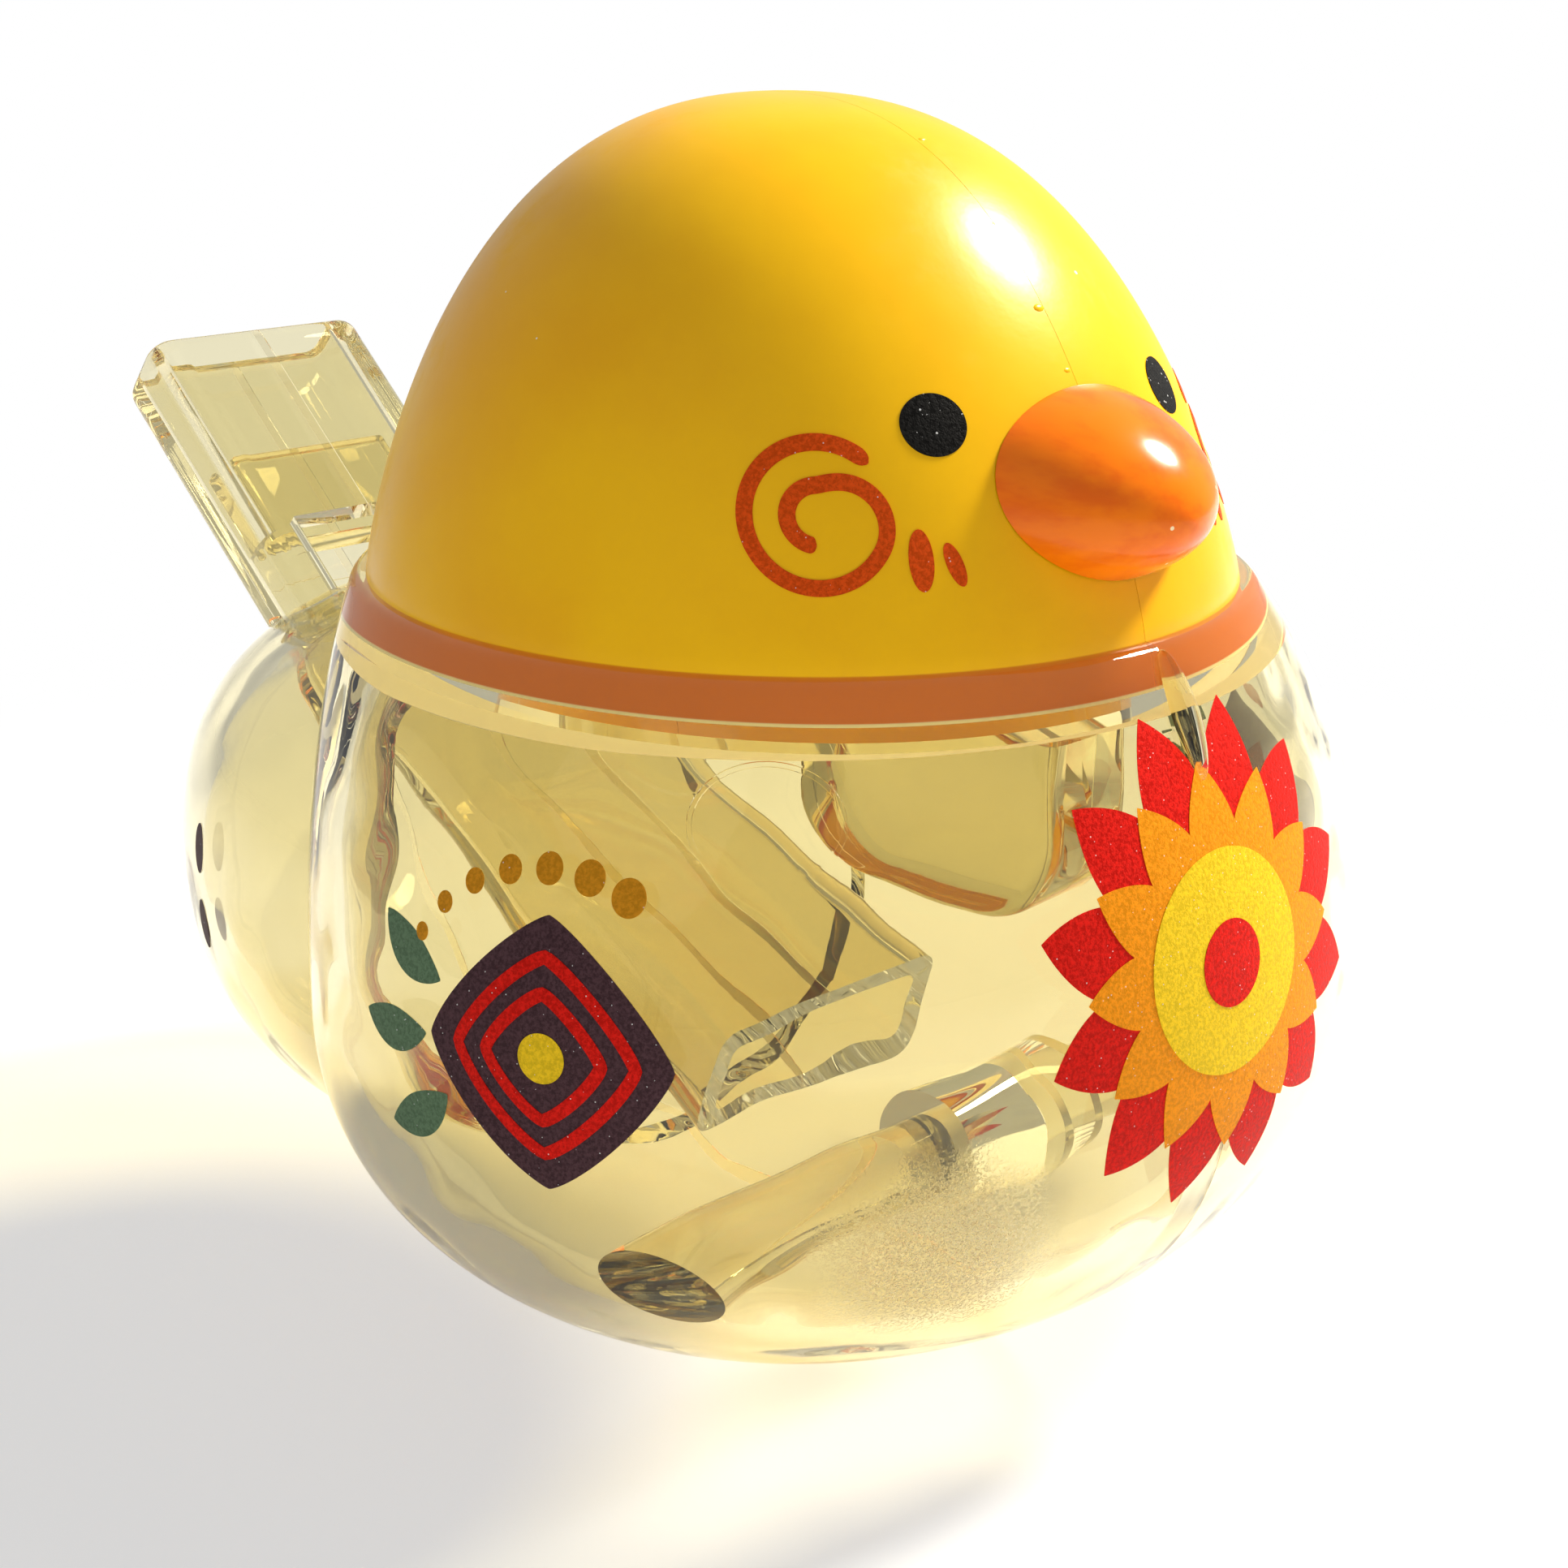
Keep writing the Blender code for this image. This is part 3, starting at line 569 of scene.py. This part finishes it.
# The opening for the head's skirt, with the narrower neck below the ledge
def neckForm():
    bore = head["radius"] + head["flare"] + collar["headFit"]
    neck = bore - collar["ledgeReach"]
    low, high = ledgeZ - collar["ledgeThick"] - overcut, chest["rimZ"] + overcut
    profile = [(0.0, low), (neck, low), (neck, ledgeZ), (bore, ledgeZ), (bore, high), (0.0, high)]
    bm = turned(profile, head["segments"])
    bmesh.ops.scale(bm, vec=(head["stretch"], 1.0, 1.0), verts=bm.verts)
    bmesh.ops.translate(bm, vec=(chest["neckForward"], 0.0, 0.0), verts=bm.verts)
    return bm


# The rounded plate that hangs from the ledge behind the front seam
def lugForm():
    top, near = ledgeZ - lug["fit"], 0.1
    low, back = top - lug["height"], lug["front"] - lug["length"]
    bm = bmesh.new()
    bmesh.ops.create_cube(bm, size=1.0)
    bmesh.ops.scale(bm, vec=(lug["length"], lug["thick"], lug["height"]), verts=bm.verts)
    bmesh.ops.translate(bm, vec=((back + lug["front"]) / 2, 0.0, (low + top) / 2), verts=bm.verts)
    corners = [edge for edge in bm.edges if all(vert.co.z < low + near for vert in edge.verts)
               and abs(edge.verts[0].co.y - edge.verts[1].co.y) > near]
    bmesh.ops.bevel(bm, geom=corners, offset=lug["round"], segments=16, profile=0.5, affect="EDGES", material=-1)
    rims = [edge for edge in bm.edges if abs(edge.verts[0].co.y - edge.verts[1].co.y) < near
            and any(vert.co.z < top - near for vert in edge.verts)]
    bmesh.ops.bevel(bm, geom=rims, offset=lug["edge"], segments=5, profile=0.5, affect="EDGES", material=-1)
    return bm


# The clear rounded bar down the front seam
def nubForm():
    z = chest["rimZ"] - nub["drop"]
    bm = bmesh.new()
    bmesh.ops.create_uvsphere(bm, u_segments=32, v_segments=32, radius=1.0)

    def move(co):
        height = co.z * co.z
        longer = Vector((co.x, co.y, math.copysign(abs(co.z) ** nub["taper"], co.z)))
        return longer * (1.0 + nub["shoulder"] * (1 - height) * height)
    warp(bm, move)
    bmesh.ops.scale(bm, vec=(nub["depth"] / 2, nub["width"] / 2, nub["height"] / 2), verts=bm.verts)
    slope = chestSkin.point(0.0, z + 0.5) - chestSkin.point(0.0, z - 0.5)
    turn = Matrix.Rotation(math.atan2(slope.x, slope.z), 3, "Y")
    bmesh.ops.rotate(bm, cent=(0, 0, 0), matrix=turn, verts=bm.verts)
    bmesh.ops.translate(bm, vec=chestSkin.lifted(0.0, z, -nub["sink"]), verts=bm.verts)
    return bm


# A weld rib inside the breast, along the seam
def ribForm():
    inner = Skin(lambda z: chestAxes(z, chest["wall"]))

    def place(u, v, lift):
        return inner.lifted(u / seam["ribRadius"], v, -lift)
    return bandForm(place, lambda share: (0.0, seam["ribLow"] + seam["ribRise"] * share),
                    lambda share: seam["ribWidth"], -seam["ribRoot"], seam["ribDepth"], 40, 8)


# The thin groove round a mould pin's place on the right flank
def pinMarkForm():
    place = chestSkin.stamp(pinMark["turn"], pinMark["z"])

    def ring(share):
        angle = share * math.tau
        return pinMark["across"] * math.cos(angle), pinMark["up"] * math.sin(angle)
    return bandForm(place, ring, lambda share: pinMark["width"], -pinMark["depth"], pinMark["above"], 120, 2, True)


def bodyForm():
    wall, innerTop = chest["wall"], ledgeZ - collar["ledgeThick"]
    inner = upright(bowlLevels(wall, innerTop, 48, 36))
    boreMiddle = wind["roof"] + wind["height"] / 2
    boreEnd = blockEnd + wind["windowLength"] / 2
    forms = [
        ("UNION", "rump", rumpForm(0.0)),
        ("UNION", "tail", tailDuct(0.0, tail["length"], tail["thick"] / 2, tail["width"], tail["thick"],
                                   tail["round"], tail["mouthRound"])),
        ("UNION", "nub", nubForm()),
        ("DIFFERENCE", "chest hollow", levelForm(chestAxes, inner, chest["segments"], wall, chest["wave"])),
        ("DIFFERENCE", "rump hollow", rumpForm(wall, rump["wave"])),
        ("UNION", "rib", ribForm()),
        ("UNION", "tube", tubeForm(0.0)),
        ("UNION", "lug", lugForm()),
        ("DIFFERENCE", "tube bore", tubeForm(tube["wall"])),
        ("DIFFERENCE", "mouth bore", tailDuct(-overcut, boreEnd, boreMiddle, wind["width"], wind["height"],
                                              wind["round"])),
        ("DIFFERENCE", "window", windowForm()),
        ("DIFFERENCE", "neck", neckForm()),
        ("DIFFERENCE", "pin mark", pinMarkForm()),
    ]
    return carve("chest", chestForm(), [(operation, addSolid(name, bm)) for operation, name, bm in forms])


# A cylinder across the bird, on the line of its cross post
def postForm(radius, start, end):
    return cylinderForm(radius, (post["x"], start, post["z"]), (post["x"], end, post["z"]))


def bodyHalf(name, whole, side):
    mid = side * seam["bodyGap"] / 2
    depth = post["wallDepth"]
    ends = levelForm(chestAxes, upright(bowlLevels(depth, post["wallTop"], 20, 12)), 96, depth)
    rod = carve("post", postForm(post["radius"], side * post["reach"], mid), [("INTERSECT", addSolid("ends", ends))])
    cup = postForm(post["cup"], side * post["cupLength"], mid)
    steps = [("DIFFERENCE", halfBlock(-side, seam["bodyGap"])), ("UNION", addSolid("rod", rod)),
             ("UNION", addSolid("cup", cup))]
    if side < 0:
        socket = postForm(post["pin"] + post["pinFit"], -post["pinLength"] - post["pinFit"], overcut)
        steps.append(("DIFFERENCE", addSolid("socket", socket)))
    else:
        pin = postForm(post["pin"], post["cupLength"] / 2, -post["pinLength"])
        steps.append(("UNION", addSolid("pin", pin)))
    return carve(name, whole.copy(), steps)


whole = bodyForm()
for side, node in ((-1, "body_right"), (1, "body_left")):
    addPiece("clear_" + node, bodyHalf(node, whole, side), clear, [node])
whole.free()

blockThick = wind["height"] - wind["windway"] - wind["fit"]
block = tailDuct(wind["blockStart"], blockEnd, wind["roof"] + wind["windway"] + blockThick / 2,
                 wind["width"] - 2 * wind["fit"], blockThick, wind["blockRound"], wind["blockEdge"])
addPiece("clear_fipple_block", block, clear, ["fipple_block"])
print("clear body ready")

# The head and its beak
beak = dict(x=18.2, z=45.6, length=8.1, halfWidth=6.9, halfHeight=4.7, curve=1.76, droop=math.radians(6.1),
            fit=0.06, stem=2.4, stemLength=3.2, holeFit=0.3)


def beakForm():
    bm = bmesh.new()
    bmesh.ops.create_uvsphere(bm, u_segments=112, v_segments=72, radius=1.0)
    bmesh.ops.rotate(bm, cent=(0, 0, 0), matrix=Matrix.Rotation(math.pi / 2, 3, "Y"), verts=bm.verts)
    power = 2 / beak["curve"]
    droop = Matrix.Rotation(beak["droop"], 3, "Y")

    def move(co):
        ring = math.hypot(co.y, co.z)
        narrow = ring ** power / ring if ring > 1e-6 else 0.0
        shape = Vector((beak["length"] * math.copysign(abs(co.x) ** power, co.x),
                        beak["halfWidth"] * co.y * narrow, beak["halfHeight"] * co.z * narrow))
        return droop @ shape + Vector((beak["x"], 0, beak["z"]))
    return warp(bm, move)


def stemForm(fit):
    start, end = beak["x"] - beak["stemLength"] - fit, beak["x"] + beak["length"] / 2
    return cylinderForm(beak["stem"] + fit, (start, 0, beak["z"]), (end, 0, beak["z"]))


skirtEnd = ledgeZ + collar["headFit"]
for side, node in ((-1, "head_right"), (1, "head_left")):
    dome = carve(node, domeForm(0.0, skirtEnd), [
        ("DIFFERENCE", addSolid("hollow", domeForm(head["wall"], skirtEnd - 1.0))),
        ("DIFFERENCE", addSolid("beak hole", stemForm(beak["holeFit"]))),
        ("DIFFERENCE", halfBlock(-side, seam["headGap"])),
    ])
    addPiece("yellow_" + node, dome, yellow, [node])

shape = carve("beak", beakForm(), [
    ("DIFFERENCE", addSolid("head form", domeForm(-beak["fit"], skirtEnd))),
    ("UNION", addSolid("stem", stemForm(0.0))),
])
addPiece("orange_beak", shape, orange, ["beak"])

# Small beads of flash along the head's seam, each with its turn, height and size
bead = dict(spots=((0.055, 60.75, 0.30), (-0.02, 53.6, 0.36), (-0.016, 50.9, 0.26), (0.0, 57.2, 0.18)),
            wide=0.6, high=0.35, sink=0.05)
for number, (turn, z, size) in enumerate(bead["spots"]):
    bm = bmesh.new()
    bmesh.ops.create_icosphere(bm, subdivisions=4, radius=1.0)
    middle = headSkin.lifted(turn, z, -bead["sink"])
    normal = (headSkin.lifted(turn, z, 1.0) - middle).normalized()
    lay = normal.to_track_quat("Z", "Y").to_matrix().to_4x4()
    flatten = Matrix.Diagonal((size, size * bead["wide"], size * bead["high"], 1.0))
    bm.transform(Matrix.Translation(middle) @ lay @ flatten)
    addPiece("head_flash_bead_%d" % (number + 1), bm, yellow)
print("head and beak ready")

# Prints are thin films, the later ones over the earlier
film = dict(low=0.012, step=0.03, thick=0.024)


# A filled drawing: outline(angle) gives its radius, and place wraps it on a skin
def printDisc(name, place, outline, paint, level=0, rings=14, segments=160):
    bm = turned([(i / rings, 0.0) for i in range(rings + 1)], segments)
    low = film["low"] + level * film["step"]

    def spot(co, lift):
        reach = outline(math.atan2(co.y, co.x))
        return place(co.x * reach, co.y * reach, lift)
    drawn = {vert: vert.co.copy() for vert in bm.verts}
    made = bmesh.ops.extrude_face_region(bm, geom=bm.faces[:], use_keep_orig=True)
    for vert in [item for item in made["geom"] if isinstance(item, bmesh.types.BMVert)]:
        vert.co = spot(vert.co.copy(), low + film["thick"])
    for vert, co in drawn.items():
        vert.co = spot(co, low)
    return addPiece(name, bm, paint)


# A drawn line: path(share) gives its middle and width(share) its width
def printLine(name, place, path, width, paint, level=0, steps=150, closed=False):
    low = film["low"] + level * film["step"]
    return addPiece(name, bandForm(place, path, width, low, low + film["thick"], steps, 4, closed), paint)


def ellipse(long, wide, tilt=0.0):
    return lambda angle: long * wide / math.hypot(wide * math.cos(angle - tilt), long * math.sin(angle - tilt))


# Rays round a disc; a power below 1 makes them fuller
def rays(inner, outer, count, power, start=0.0):
    def outline(angle):
        share = (angle - start) * count / math.tau % 1.0
        return inner + (outer - inner) * (1 - abs(share * 2 - 1)) ** power
    return outline


def roundEnds(width, cap):
    return lambda share: width * math.sqrt(max(0.02, 1 - max(0.0, 1 - min(share, 1 - share) / cap) ** 2))


def easy(share):
    share = min(1.0, max(0.0, share))
    return share * share * (3 - 2 * share)


sides = ((-1, "right"), (1, "left"))
face = dict(eyeTurn={-1: 26.0, 1: 24.0}, eyeZ=49.2, eye=(1.6, 1.5), spiralTurn=42.5, spiralZ=45.6, spiralWidth=0.78,
            spiralCap=0.02, spiralStart=44, spiralSweep=582, wide=3.3, narrower=1.93, diveFrom=330, diveOver=125,
            marks=(("dash", 30.2, 43.6, 1.42, 0.58, 90), ("dot", 26.0, 43.35, 1.05, 0.40, 107)))


# Cheek spiral: a wide turn that dives into a small one
def spiral(share):
    degrees = face["spiralStart"] + face["spiralSweep"] * share
    reach = face["wide"] - face["narrower"] * easy((degrees - face["diveFrom"]) / face["diveOver"])
    return reach * math.cos(math.radians(degrees)), reach * math.sin(math.radians(degrees))


for side, name in sides:
    eye = headSkin.stamp(side * math.radians(face["eyeTurn"][side]), face["eyeZ"], side > 0)
    printDisc("eye_" + name, eye, ellipse(*face["eye"]), inks["black"])
    cheek = headSkin.stamp(side * math.radians(face["spiralTurn"]), face["spiralZ"], side > 0)
    printLine("cheek_spiral_" + name, cheek, spiral, roundEnds(face["spiralWidth"], face["spiralCap"]),
              inks["cheek"], steps=240)
    for mark, turn, z, long, wide, tilt in face["marks"]:
        place = headSkin.stamp(side * math.radians(turn), z, side > 0)
        printDisc("cheek_%s_%s" % (mark, name), place, ellipse(long, wide, math.radians(tilt)), inks["cheek"],
                  segments=64)

# Sunburst on the breast
breast = dict(z=24.4, rays=12, red=(8.4, 12.2), redPower=0.8, amber=(6.6, 9.4), amberPower=0.9, disc=5.4, heart=2.1)
place = chestSkin.stamp(0.0, breast["z"])
redRays = rays(*breast["red"], breast["rays"], breast["redPower"])
amberRays = rays(*breast["amber"], breast["rays"], breast["amberPower"], math.pi / breast["rays"])
disc, heart = (ellipse(breast[part], breast[part]) for part in ("disc", "heart"))
printDisc("breast_red_rays", place, redRays, inks["red"], 0, 24, 360)
printDisc("breast_amber_rays", place, amberRays, inks["amber"], 1, 20, 360)
printDisc("breast_yellow_disc", place, disc, inks["yellow"], 2, 14, 160)
printDisc("breast_red_heart", place, heart, inks["red"], 3, 8, 96)

# Flank: a plum diamond with red lines, a column of leaves and an arc of dots
flank = dict(turn=1.225, z=22.8, diamond=6.3, corner=1.25, lines=(4.5, 2.9), lineWidth=0.62, middle=1.15,
             leaves=((-7.6, -4.0, 208), (-9.2, -0.2, 180), (-8.0, 3.6, 152)), leaf=2.5, leafWidth=2.1, leafBend=0.35,
             dots=7, arc=(8.6, 8.2), arcStart=148, arcStep=14, dot=0.42, dotGrowth=0.07)
rumpBar = dict(turn=1.92, heights=(20.2, 15.6), long=1.5, wide=0.75)


def diamond(reach):
    power = flank["corner"]
    return lambda angle: reach / (abs(math.cos(angle)) ** power + abs(math.sin(angle)) ** power) ** (1 / power)


def diamondPath(reach):
    shape = diamond(reach)

    def path(share):
        angle = share * math.tau
        return shape(angle) * math.cos(angle), shape(angle) * math.sin(angle)
    return path


# A leaf's middle line, from its foot out to its tip, with a slight bend
def leafPath(across, up, tilt):
    def path(share):
        along, bend = (share - 0.5) * 2 * flank["leaf"], flank["leafBend"] * math.sin(share * math.pi)
        return (across + along * math.cos(tilt) - bend * math.sin(tilt),
                up + along * math.sin(tilt) + bend * math.cos(tilt))
    return path


def leafWidth(share):
    return flank["leafWidth"] * math.sin(math.pi * min(0.995, max(0.005, share))) ** 0.75


# A spot of the flank beside the diamond's middle, and the wrapping there
def beside(place, across, up):
    return lambda u, v, lift: place(across + u, up + v, lift)


for side, name in sides:
    place = chestSkin.stamp(side * flank["turn"], flank["z"], side > 0)
    printDisc("flank_plum_diamond_" + name, place, diamond(flank["diamond"]), inks["plum"], 0, 16, 200)
    for number, reach in enumerate(flank["lines"]):
        printLine("flank_red_line_%s_%d" % (name, number + 1), place, diamondPath(reach),
                  lambda share: flank["lineWidth"], inks["red"], 1, 120, True)
    middle = ellipse(flank["middle"], flank["middle"])
    printDisc("flank_yellow_dot_" + name, place, middle, inks["yellow"], 1, 5, 64)
    for number, (across, up, tilt) in enumerate(flank["leaves"]):
        printLine("flank_leaf_%s_%d" % (name, number + 1), place, leafPath(across, up, math.radians(tilt)),
                  leafWidth, inks["green"], 0, 48)
    for number in range(flank["dots"]):
        angle = math.radians(flank["arcStart"] - flank["arcStep"] * number)
        size = flank["dot"] + flank["dotGrowth"] * number
        across, up = flank["arc"][0] * math.cos(angle), flank["arc"][1] * math.sin(angle)
        printDisc("flank_dot_%s_%d" % (name, number + 1), beside(place, across, up), ellipse(size, size),
                  inks["ochre"], 0, 3, 32)
    for number, z in enumerate(rumpBar["heights"]):
        printDisc("rump_plum_bar_%s_%d" % (name, number + 1), rumpSkin.stamp(side * rumpBar["turn"], z),
                  ellipse(rumpBar["wide"], rumpBar["long"]), inks["plum"], 0, 6, 48)
print("prints ready")

# The camera, at the photograph's angle
view = dict(place=(0.111054, -0.096202, 0.071078), back=(0.685511, -0.659619, 0.308184), lens=61.703, sensor=36.0,
            near=0.005, far=20.0)
back = Vector(view["back"])
right = Vector((0, 0, 1)).cross(back).normalized()
up = back.cross(right)
lens = bpy.data.cameras.new("camera")
lens.lens, lens.sensor_width, lens.clip_start, lens.clip_end = view["lens"], view["sensor"], view["near"], view["far"]
camera = bpy.data.objects.new("camera", lens)
camera.matrix_world = Matrix.Translation(view["place"]) @ Matrix((right, up, back)).transposed().to_4x4()
scene.collection.objects.link(camera)
scene.camera = camera

# A pale floor and a pale studio, dimmer where the plastic mirrors them and for the light that they give
ground = dict(colour=(0.88, 0.88, 0.88), size=3.0, drop=0.2, near=45.0, far=120.0, nearGlow=0.5)
studio = dict(light=0.33, mirrored=0.3, aim=(0.008, 0, 0.032))


# Rays that the camera sees, also through plastic or, more dimly, mirrored in it
def seenRays(tree):
    path = tree.nodes.new("ShaderNodeLightPath")
    names = ("Is Camera Ray", "Is Glossy Ray", "Is Transmission Ray", "Glossy Depth")
    camera, glossy, through, mirrored = (Wave(tree, path.outputs[name]) for name in names)
    return camera.most(glossy).most(through) * (1 - mirrored.over(0.5) * (1 - studio["mirrored"]))


paint = Paint("pale floor", Base_Color=ground["colour"], Roughness=0.7)
x, y = paint.axis("X"), paint.axis("Y")
away = ((x * x + y * y) ** 0.5 / mm).ramp(ground["near"], ground["far"])
glow = paint.make("ShaderNodeEmission", {}, {"Color": (1.0, 1.0, 1.0), "Strength": 1.0})
paint.mix(seenRays(paint.tree) * (ground["nearGlow"] + away * (1 - ground["nearGlow"])), glow)
bm = bmesh.new()
bmesh.ops.create_grid(bm, x_segments=1, y_segments=1, size=ground["size"])
floor = addSolid("floor", bm)
floor.location.z = -ground["drop"] * mm
floor.data.materials.append(paint.material)

world = bpy.data.worlds.new("studio")
scene.world = world
world.use_nodes = True
tree = world.node_tree
background = tree.nodes["Background"]
fill(tree, background.inputs["Strength"], studio["light"] + seenRays(tree) * (1 - studio["light"]))
fill(tree, background.inputs["Color"], (1.0, 1.0, 1.0))


# A soft lamp that looks at the bird from this direction: right, up and towards the camera
def addLamp(name, direction, distance, size, power, colour):
    light = bpy.data.lights.new(name, "AREA")
    light.shape, light.size, light.energy, light.color = "DISK", size, power, colour
    lamp = bpy.data.objects.new(name, light)
    towards = (right * direction[0] + up * direction[1] + back * direction[2]).normalized()
    turn = towards.to_track_quat("Z", "Y").to_matrix().to_4x4()
    lamp.matrix_world = Matrix.Translation(Vector(studio["aim"]) + towards * distance) @ turn
    scene.collection.objects.link(lamp)
    return lamp


lamps = {
    "key": dict(direction=(0.62, 0.76, -0.10), distance=0.45, size=0.09, power=4.2, colour=(1.0, 0.95, 0.84)),
    "fill": dict(direction=(-0.5, 0.4, 0.9), distance=0.7, size=0.6, power=0.6, colour=(0.97, 0.97, 1.0)),
}
addLamp("key", **lamps["key"])
addLamp("fill", **lamps["fill"]).visible_glossy = False

# Light gets through all the walls of the clear parts
walls = 36
scene.cycles.max_bounces = walls
scene.cycles.transmission_bounces = walls
scene.cycles.glossy_bounces = walls
scene.cycles.diffuse_bounces = 2
scene.cycles.transparent_max_bounces = 32

scene.view_settings.view_transform = "Standard"
print("scene ready")
